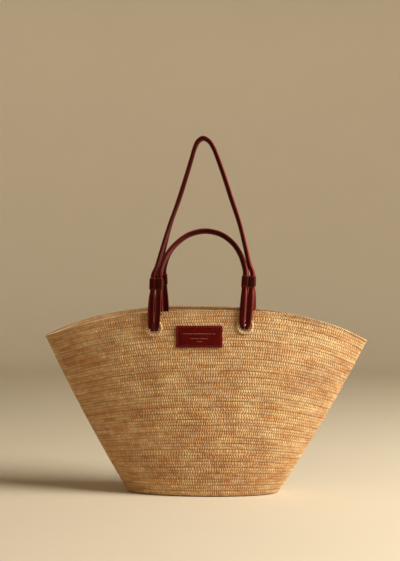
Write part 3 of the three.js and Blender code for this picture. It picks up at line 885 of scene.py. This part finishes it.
# The flange is thinner by this share, from one place across the strap to another, and a crease parts it off
FLANGE_THINNER, FLANGE_FROM, FLANGE_TO = 0.34, 0.22, 0.5
CREASE_DEPTH, CREASE_PLACE, CREASE_WIDTH = 0.1, 0.45, 0.09
# The strap's tips close over this length, to this share of the section
TIP_LENGTH, TIP_SHARE = 1.2, 0.35


def flange_of(aside):
    """Share of the thickness that the flange lacks at this place across the strap, by a smooth step."""
    return FLANGE_THINNER * smooth_step(FLANGE_FROM, FLANGE_TO, aside)


def signed_power(values, power):
    return np.sign(values) * np.abs(values) ** power


def strap_surface(path, index, aside, face):
    """Point on one face of the strap, aside from -1 to 1 across it: a full rounded edge outside and, where the
    strap is folded over its core, a flat stitched flange along the inside of the arch."""
    pick = {key: value[index] for key, value in path.items()}
    full = np.clip(1 - np.abs(aside) ** (2 / SECTION_POWER), 0, 1) ** (SECTION_POWER / 2)
    flange = 1 - flange_of(aside) * pick["roll"]
    lift = face * full * flange * pick["thick"] / 2
    across = pick["across"] * (aside * pick["width"] / 2)[:, None]
    return pick["point"] + across + pick["through"] * lift[:, None]


def strap_piece(side, kind):
    """The section carried along the path: cosine and sine to a power below one give a soft rectangle, whose
    flange is thinner and parted from the core by a crease."""
    path = strap_path(side, kind)
    turn = np.linspace(0, 2 * np.pi, SECTION_SIDES, endpoint=False)
    aside = signed_power(np.cos(turn), SECTION_POWER)
    through = signed_power(np.sin(turn), SECTION_POWER)
    crease = CREASE_DEPTH * np.exp(-(((aside - CREASE_PLACE) / CREASE_WIDTH) ** 2))
    flange = 1 - path["roll"][:, None] * (flange_of(aside) + crease)
    ends = np.minimum(path["where"], path["where"][-1] - path["where"])[:, None]
    close = np.clip(ends / TIP_LENGTH, TIP_SHARE, 1)
    points = (
        path["point"][:, None]
        + path["across"][:, None] * (aside * path["width"][:, None] / 2 * close)[..., None]
        + path["through"][:, None] * (through * flange * path["thick"][:, None] / 2 * close)[..., None]
    )
    stations, sides = points.shape[:2]
    caps = [np.arange(sides)[::-1], (stations - 1) * sides + np.arange(sides)]
    # The narrow crest along one edge is burnished edge paint; the broad crest along the outer side is a
    # burnished edge widened into a painted highlight, as a lit right-facing side would show.
    crest = 0.7 * np.exp(-(((aside - 1) / 0.1) ** 2)) + np.exp(-(((aside + 1) / 0.36) ** 2))
    wear_and_highlight = 0.8 * crest[None, :] * np.ones((stations, 1))
    return make_piece(
        f"leather_handle_{kind}_{side}", points, grid_faces(stations, sides), handle_leather(),
        [f"{kind}_handle_{side}"], caps=caps, fields={"wear_and_highlight": wear_and_highlight},
    ), path


def keeper_piece(pair, kind):
    """A sleeve: a soft rectangle round the two layers of the strap, thickened by a rounded strip."""
    facts = KINDS[kind]
    axes = strap_axes(pair)
    stack = HANDLE_THICK + GAP + LOOP_THICK + 2 * GAP
    sides, band_sides = 44, 16
    turn = np.linspace(0, 2 * np.pi, sides, endpoint=False)[None, :]
    band = np.linspace(0, 2 * np.pi, band_sides, endpoint=False)[:, None]
    edge, lift, corner = 0.5, 0.4, 0.42
    out = signed_power(np.cos(band), edge) * KEEPER_WALL / 2
    rise = signed_power(np.sin(band), lift) * KEEPER_HEIGHT / 2
    wide = (facts["width"] + 2 * GAP + KEEPER_WALL) / 2 + out
    thick = (stack + KEEPER_WALL) / 2 + out
    across = wide * signed_power(np.cos(turn), corner)
    through = thick * signed_power(np.sin(turn), corner)
    middle = EYELET_DROP + KEEPER_LIFT + KEEPER_HEIGHT / 2
    aside = PAIRS[pair][1] * facts["away"] * PAIR_SPACING / 2
    points = on_wall(axes, aside + across, middle + rise + 0 * turn, through)
    wear_and_highlight = 0.7 * smooth_step(0.8, 1, np.abs(np.sin(band))) + 0 * turn
    return make_piece(
        f"leather_keeper_{kind}_{pair}", points, grid_faces(band_sides, sides, wrap_rows=True),
        handle_leather(), [f"keeper_{kind}_{pair}"], fields={"wear_and_highlight": wear_and_highlight},
    )


# Label

LABEL_MIDDLE = rim_at(0, FRONT) - LABEL_DROP
# Rows of a round of the label: how far it is drawn in, and its height as a share of half the thickness
LABEL_ROUNDS = np.array([
    (0, -1.0), (0, 0.45), (0.12, 0.75), (0.45, 0.95), (1.0, 1.0), (2.2, 1.0), (2.5, 0.86), (2.8, 0.78),
    (3.1, 0.86), (3.4, 1.0), (4.5, 1.02),
])
LABEL_CORNER, LABEL_SIDES, LABEL_FILL = 2.4, 160, 8


def label_place(x, up, lift):
    """Point of the label: the wall's face at this X and height, moved out of it."""
    axes = wall_axes(x, LABEL_MIDDLE + up, FRONT)
    return axes["middle"] + axes["out"] * (WALL / 2 + GAP + LABEL_THICK / 2 + lift)[..., None]


def label_piece():
    """Rounds of a rounded rectangle, each drawn in by its inset and lifted by its share of half the thickness,
    closed along a line in the middle of the back and of the front."""
    half_w, half_h = LABEL_WIDTH / 2, LABEL_HEIGHT / 2
    turn = np.linspace(0, 2 * np.pi, LABEL_SIDES, endpoint=False)[None, :]
    box_x, box_y = np.clip(np.cos(turn) * 1.9, -1, 1), np.clip(np.sin(turn) * 1.9, -1, 1)
    inset, lift = LABEL_ROUNDS[:, :1], LABEL_ROUNDS[:, 1:]
    round_out = unit(np.stack([np.cos(turn) ** 3, np.sin(turn) ** 3], -1))
    x = (half_w - LABEL_CORNER) * box_x + (LABEL_CORNER - inset) * round_out[..., 0]
    up = (half_h - LABEL_CORNER) * box_y + (LABEL_CORNER - inset) * round_out[..., 1]
    centre = np.linspace(1, 0, LABEL_FILL)[1:, None]
    flat = half_w - half_h
    inner_x = x[-1:] * centre + (1 - centre) * flat * box_x
    inner_up = up[-1:] * centre
    back_x = x[:1] * centre[::-1] + (1 - centre[::-1]) * flat * box_x
    back_up = up[:1] * centre[::-1]
    x = np.concatenate([back_x, x, inner_x])
    up = np.concatenate([back_up, up, inner_up])
    ones = np.ones((len(centre), 1))
    height = np.concatenate([-ones, lift, 1.02 * ones]) * LABEL_THICK / 2 + 0 * x
    points = label_place(x, up, height)
    outer = np.concatenate([ones * 0, np.exp(-((inset - 0.3) / 0.5) ** 2), ones * 0]) + 0 * x
    return make_piece(
        "leather_label", points, grid_faces(len(x), x.shape[1]), label_leather(),
        ["label_patch"], fields={"wear_and_highlight": 0.8 * outer}, merge=True,
    )


# Stitching

# Rows of a ring of a stitch: share of its length, and its height and size in radii
STITCH_LEVELS = np.array([
    (0.0, -0.9, 0.5), (0.12, 0.1, 0.95), (0.5, 0.55, 1.0), (0.88, 0.1, 0.95), (1.0, -0.9, 0.5),
])
STITCH_SIDES = 6
STRAP_THREAD, LABEL_THREAD, LABEL_DASH = 0.42, 0.4, 0.3
# Half a dash, and each row of dashes: its height, half its length and its pitch
DASH_REACH = 0.7
DASH_ROWS = ((4.6, 27.0, 2.25), (-3.4, 15.0, 2.25), (-8.2, 4.5, 2.25))


def stitch_mesh(start, stop, normal, radius):
    """Points, quads and caps of one short thread from each start to its stop: five rings whose centres rise
    out of the leather along the normal and dive back into it."""
    share, lift, size = STITCH_LEVELS.T
    along = unit(stop - start)
    beside = np.cross(along, normal)
    turn = np.linspace(0, 2 * np.pi, STITCH_SIDES, endpoint=False)
    centre = mix(start[:, None], stop[:, None], share[None, :, None])
    centre = centre + normal[:, None] * (lift * radius)[None, :, None]
    ring = normal[:, None, :] * np.cos(turn)[None, :, None] + beside[:, None, :] * np.sin(turn)[None, :, None]
    points = centre[:, :, None] + ring[:, None] * (radius * size)[None, :, None, None]
    count, levels, sides = points.shape[:3]
    base = np.arange(count)[:, None, None] * levels * sides
    faces = (grid_faces(levels, sides)[None] + base).reshape(-1, 4)
    first = base[:, 0] + np.arange(sides)[::-1]
    last = base[:, 0] + (levels - 1) * sides + np.arange(sides)
    return points, faces, np.concatenate([first, last])


def thread_piece(name, runs, radius, material, node):
    """All the stitches of one piece as one mesh, from runs of starts, stops and normals."""
    start, stop, normal = (np.concatenate(part) for part in zip(*runs))
    points, faces, caps = stitch_mesh(start, stop, normal, radius)
    return make_piece(name, points, faces, material, [node], caps=caps.tolist())


def strap_stitches(side, kind, path):
    """Stitches on both faces of the flange along the arch, and along both edges of the loops' outer faces."""
    index = np.arange(len(path["where"]))
    face_out = -SIDES[side]
    rolled = path["roll"] > 0.99
    above = rolled & (path["point"][:, 2] > HEIGHT + KEEPER_LIFT + KEEPER_HEIGHT + 4)
    outside = (path["roll"] < 0.01) & (path["point"][:, 1] * SIDES[side] > (MOUTH_DEPTH / 2 + 6))
    runs = []
    for chosen, aside, face in (
        (above, 0.74, 1), (above, 0.74, -1), (outside, 0.78, face_out), (outside, -0.78, face_out),
    ):
        picked = index[chosen][1::2]
        picked = picked[picked < index[-1] - 1]
        share = np.full(len(picked), aside)
        start = strap_surface(path, picked, share, face)
        stop = strap_surface(path, picked + 1, share, face)
        middle, reach = (start + stop) / 2, (stop - start) * 0.62
        runs.append((middle - reach, middle + reach, face * path["through"][picked]))
    return thread_piece(
        f"handle_thread_{kind}_{side}", runs, STRAP_THREAD, thread(), f"{kind}_handle_{side}",
    )


def label_stitches(inset=2.8, pitch=3.1):
    """Stitches along a rounded rectangle drawn in from the label's edge."""
    half_w, half_h = LABEL_WIDTH / 2 - inset, LABEL_HEIGHT / 2 - inset
    runs = []
    for length, place in (
        (half_w, lambda s: (s, np.full_like(s, half_h))), (half_w, lambda s: (s, np.full_like(s, -half_h))),
        (half_h, lambda s: (np.full_like(s, half_w), s)), (half_h, lambda s: (np.full_like(s, -half_w), s)),
    ):
        count = round(2 * length / pitch)
        middle = (np.arange(count) + 0.5) / count * 2 * length - length
        starts, stops = place(middle - 0.36 * pitch), place(middle + 0.36 * pitch)
        low = np.full(count, LABEL_THICK * 0.41)
        axes = wall_axes(place(middle)[0], LABEL_MIDDLE + place(middle)[1], FRONT)
        runs.append((label_place(*starts, low), label_place(*stops, low), axes["out"]))
    return thread_piece("label_thread", runs, LABEL_THREAD, thread(), "label_patch")


def label_ornament():
    """Three plain rows of small pressed dashes across the label's middle."""
    runs = []
    for up, half, pitch in DASH_ROWS:
        count = round(2 * half / pitch)
        middle = (np.arange(count) + 0.5) / count * 2 * half - half
        low = np.full(count, LABEL_THICK * 0.5)
        height = np.full(count, up)
        axes = wall_axes(middle, LABEL_MIDDLE + height, FRONT)
        start, stop = (label_place(middle + reach, height, low) for reach in (-DASH_REACH, DASH_REACH))
        runs.append((start, stop, axes["out"]))
    look = bpy.context.scene.basket_bag_leather
    name = "Foil_Pressed"
    foil = shared_material(name, lambda: thread_material(name, look.foil_colour))
    return thread_piece("label_rules", runs, LABEL_DASH, foil, "label_patch")


# Stage

def camera_object():
    """A level camera a little to the right of the bag's front, as high as the handles' feet."""
    look = bpy.context.scene.basket_bag_stage
    turn = look.camera_azimuth
    right = Vector((math.cos(turn), math.sin(turn), 0))
    back = Vector((math.sin(turn), -math.cos(turn), 0))
    data = bpy.data.cameras.new("Camera")
    data.lens = data.sensor_width / 2 / math.tan(look.camera_field / 2)
    data.clip_start, data.clip_end = 0.05, 50
    camera = bpy.data.objects.new("Camera", data)
    camera.location = right * look.camera_aside + back * look.camera_distance
    camera.location.z = look.camera_height
    camera.rotation_euler = (math.pi / 2, 0, turn)
    bpy.context.scene.collection.objects.link(camera)
    bpy.context.scene.camera = camera
    return camera


def area_light(name, place, target, size, power, colour):
    data = bpy.data.lights.new(name, "AREA")
    data.shape = "DISK"
    data.size = size
    data.energy = power
    data.color = colour
    light = bpy.data.objects.new(name, data)
    light.location = place
    light.rotation_euler = (Vector(target) - Vector(place)).to_track_quat("-Z", "Y").to_euler()
    bpy.context.scene.collection.objects.link(light)
    return light


def floor_material():
    """Matt painted studio floor: pale and plain, with the faintest unevenness of a roller."""
    look = bpy.context.scene.basket_bag_stage
    material, tree = new_material("Painted_Studio_Floor")
    place = add_node(tree, "ShaderNodeTexCoord")
    haze = add_node(tree, "ShaderNodeTexNoise", {
        "Vector": place.outputs["Object"], "Scale": 3.0, "Detail": 2.0,
    })
    darker = tuple(share * 0.97 for share in look.floor_colour)
    paint = add_node(tree, "ShaderNodeMix", {
        MIX_FACTOR: haze.outputs["Fac"], MIX_A: solid(look.floor_colour), MIX_B: solid(darker),
    }, data_type="RGBA")
    add_node(tree, "Principled BSDF", {"Base Color": paint.outputs[MIX_RESULT], "Roughness": 0.8})
    return material


def floor_object():
    """A round floor that curves up through a quarter circle into an upright backdrop all round."""
    level, bend, tall, columns = 3.0, 1.5, 5.0, 96
    turn = np.linspace(0, np.pi / 2, 24)
    reach = np.concatenate([[0.01], level + bend * np.sin(turn), [level + bend]])[:, None]
    z = np.concatenate([[0.0], bend * (1 - np.cos(turn)), [tall]])[:, None]
    around = np.linspace(0, 2 * np.pi, columns, endpoint=False)[None, :]
    points = np.stack(np.broadcast_arrays(reach * np.cos(around), reach * np.sin(around), z), -1)
    middle = [list(range(columns))[::-1]]
    mesh = bpy.data.meshes.new("floor")
    faces = grid_faces(len(z), columns)[:, ::-1].tolist() + middle
    mesh.from_pydata(points.reshape(-1, 3).tolist(), [], faces)
    mesh.polygons.foreach_set("use_smooth", np.ones(len(mesh.polygons), bool))
    mesh.materials.append(floor_material())
    floor = bpy.data.objects.new("floor", mesh)
    bpy.context.scene.collection.objects.link(floor)
    return floor


# Settings

def colour_property(name, description, text):
    return bpy.props.FloatVectorProperty(
        name=name, description=description, subtype="COLOR", size=3, min=0, max=1, default=linear(text),
    )


class BasketBagWeave(bpy.types.PropertyGroup):
    """Relief and colours of the crocheted raffia."""

    stitch_depth: bpy.props.FloatProperty(
        name="Stitch depth", description="How deep the gaps lie below the stitches",
        default=1.9 * MM, min=0, max=2.2 * MM, unit="LENGTH",
    )
    stitch_proud: bpy.props.FloatProperty(
        name="Stitch lift", description="How far the stitches stand out of the solid wall",
        default=0.2 * MM, min=0, max=1 * MM, unit="LENGTH",
    )
    stitch_lean: bpy.props.FloatProperty(
        name="Stitch lean", description="How far a stitch leans over its course, as a share of its width",
        default=0.3, min=0, max=1,
    )
    raffia_pale: colour_property("Pale raffia", "Colour of the palest strands", "#f8daa2")
    raffia_mid: colour_property("Raffia", "Colour of the darker strands", "#d2944e")
    raffia_brown: colour_property("Brown raffia", "Colour of dark fibres and patches", "#8e4018")
    # Painted shade laid into the gaps and holes between the stitches
    raffia_gap_shade: colour_property("Gaps", "Colour between the stitches", "#341004")


class BasketBagLeather(bpy.types.PropertyGroup):
    """Colours of the leather, its thread and its pressed ornament."""

    strap_colour: colour_property("Handles", "Colour of the handles' leather", "#300404")
    # Burnished edges, and the painted highlight along the outer side of the handles
    edge_and_highlight_colour: colour_property("Rubbed edges", "Colour where the leather is burnished", "#8e3a30")
    label_colour: colour_property("Label", "Colour of the label's leather", "#560806")
    thread_colour: colour_property("Thread", "Colour of the sewing thread", "#5c1e1a")
    foil_colour: colour_property("Foil", "Colour of the pressed ornament", "#d09a84")


class BasketBagStage(bpy.types.PropertyGroup):
    """Floor, lights and camera."""

    floor_colour: colour_property("Floor", "Colour of the floor and the backdrop", "#dccfb8")
    camera_azimuth: bpy.props.FloatProperty(
        name="Camera azimuth", description="How far the camera stands round to the right",
        default=math.radians(5.3), subtype="ANGLE",
    )
    camera_field: bpy.props.FloatProperty(
        name="Camera field", description="Angle of view over the picture's height",
        default=math.radians(23.6), subtype="ANGLE",
    )
    camera_distance: bpy.props.FloatProperty(
        name="Camera distance", description="Distance from the bag's middle", default=2.3, unit="LENGTH",
    )
    camera_height: bpy.props.FloatProperty(
        name="Camera height", description="Height above the floor", default=0.3604, unit="LENGTH",
    )
    camera_aside: bpy.props.FloatProperty(
        name="Camera aside", description="Shift of the camera to its right", default=-0.0051, unit="LENGTH",
    )
    key_power: bpy.props.FloatProperty(
        name="Key light", description="Power of the light from the right", default=176.0, unit="POWER",
    )
    fill_power: bpy.props.FloatProperty(
        name="Fill light", description="Power of the light from the left", default=1.2, unit="POWER",
    )
    sky_strength: bpy.props.FloatProperty(
        name="Sky", description="Strength of the even light from all round", default=0.08, min=0,
    )


# Operators

class BASKET_BAG_OT_crochet_wall(bpy.types.Operator):
    """Crochet the wall in five bands of rows and cut the eyelets' holes"""

    bl_idname = "basket_bag.crochet_wall"
    bl_label = "Crochet Wall"

    def execute(self, context):
        for seed, (name, first, last) in enumerate(BANDS, start=1):
            band = wall_band(name, first, last, seed)
        cut_eyelets(band)
        return {"FINISHED"}


class BASKET_BAG_OT_crochet_base(bpy.types.Operator):
    """Crochet the oval base in rounds"""

    bl_idname = "basket_bag.crochet_base"
    bl_label = "Crochet Base"

    def execute(self, context):
        basket_base()
        return {"FINISHED"}


class BASKET_BAG_OT_rim_cord(bpy.types.Operator):
    """Edge the mouth with a cord of slanting loops"""

    bl_idname = "basket_bag.rim_cord"
    bl_label = "Rim Cord"

    def execute(self, context):
        rim_cord()
        return {"FINISHED"}


class BASKET_BAG_OT_raffia_rings(bpy.types.Operator):
    """Crochet a raised ring round each eyelet"""

    bl_idname = "basket_bag.raffia_rings"
    bl_label = "Raffia Rings"

    def execute(self, context):
        for pair in PAIRS:
            raffia_ring(pair)
        return {"FINISHED"}


class BASKET_BAG_OT_grommets(bpy.types.Operator):
    """Set the four nickel eyelets"""

    bl_idname = "basket_bag.grommets"
    bl_label = "Eyelets"

    def execute(self, context):
        for pair in PAIRS:
            eyelet_piece(pair)
        return {"FINISHED"}


class BASKET_BAG_OT_handles(bpy.types.Operator):
    """Fold, loop and stitch the four leather handles"""

    bl_idname = "basket_bag.handles"
    bl_label = "Handles"

    def execute(self, context):
        for side in SIDES:
            for kind in KINDS:
                _, path = strap_piece(side, kind)
                strap_stitches(side, kind, path)
        return {"FINISHED"}


class BASKET_BAG_OT_keepers(bpy.types.Operator):
    """Close each end loop with a leather sleeve"""

    bl_idname = "basket_bag.keepers"
    bl_label = "Keepers"

    def execute(self, context):
        for pair in PAIRS:
            for kind in KINDS:
                keeper_piece(pair, kind)
        return {"FINISHED"}


class BASKET_BAG_OT_label(bpy.types.Operator):
    """Sew the bare leather label to the front"""

    bl_idname = "basket_bag.label"
    bl_label = "Label"

    def execute(self, context):
        label_piece()
        label_stitches()
        label_ornament()
        return {"FINISHED"}


class BASKET_BAG_OT_stage(bpy.types.Operator):
    """Lay the floor and set the lights and the camera"""

    bl_idname = "basket_bag.stage"
    bl_label = "Stage"

    def execute(self, context):
        look = context.scene.basket_bag_stage
        floor_object()
        camera_object()
        area_light(
            "key", place=(2.55, -0.8, 1.75), target=(0.05, 0, 0.2), size=1.9, power=look.key_power,
            colour=linear("#fffbf0"),
        )
        area_light(
            "fill", place=(-1.9, -1.6, 1.0), target=(0, 0, 0.2), size=1.6, power=look.fill_power,
            colour=linear("#ffca94"),
        )
        context.scene.view_settings.view_transform = "Standard"
        world = context.scene.world or bpy.data.worlds.new("World")
        context.scene.world = world
        world.use_nodes = True
        add_node(world.node_tree, "Background", {
            "Color": solid(linear("#f4dcc0")), "Strength": look.sky_strength,
        })
        return {"FINISHED"}


class BASKET_BAG_PT_build(bpy.types.Panel):
    """The sizes and colours of the bag and the steps that build it"""

    bl_idname = "BASKET_BAG_PT_build"
    bl_label = "Basket Bag"
    bl_space_type = "VIEW_3D"
    bl_region_type = "UI"
    bl_category = "Basket Bag"

    def draw(self, context):
        for settings in (
            context.scene.basket_bag_weave, context.scene.basket_bag_leather, context.scene.basket_bag_stage,
        ):
            for key in settings.__annotations__:
                self.layout.prop(settings, key)
        for step in STEPS:
            self.layout.operator(step.bl_idname)


STEPS = (
    BASKET_BAG_OT_crochet_wall,
    BASKET_BAG_OT_crochet_base,
    BASKET_BAG_OT_rim_cord,
    BASKET_BAG_OT_raffia_rings,
    BASKET_BAG_OT_grommets,
    BASKET_BAG_OT_handles,
    BASKET_BAG_OT_keepers,
    BASKET_BAG_OT_label,
    BASKET_BAG_OT_stage,
)
SETTINGS = {
    "basket_bag_weave": BasketBagWeave,
    "basket_bag_leather": BasketBagLeather,
    "basket_bag_stage": BasketBagStage,
}


def register():
    for name, settings in SETTINGS.items():
        bpy.utils.register_class(settings)
        setattr(bpy.types.Scene, name, bpy.props.PointerProperty(type=settings))
    for step in STEPS:
        bpy.utils.register_class(step)
    bpy.utils.register_class(BASKET_BAG_PT_build)


def unregister():
    bpy.utils.unregister_class(BASKET_BAG_PT_build)
    for step in reversed(STEPS):
        bpy.utils.unregister_class(step)
    for name, settings in SETTINGS.items():
        delattr(bpy.types.Scene, name)
        bpy.utils.unregister_class(settings)


def main():
    register()
    for step in STEPS:
        area, action = step.bl_idname.split(".")
        getattr(getattr(bpy.ops, area), action)()


if __name__ == "__main__":
    main()
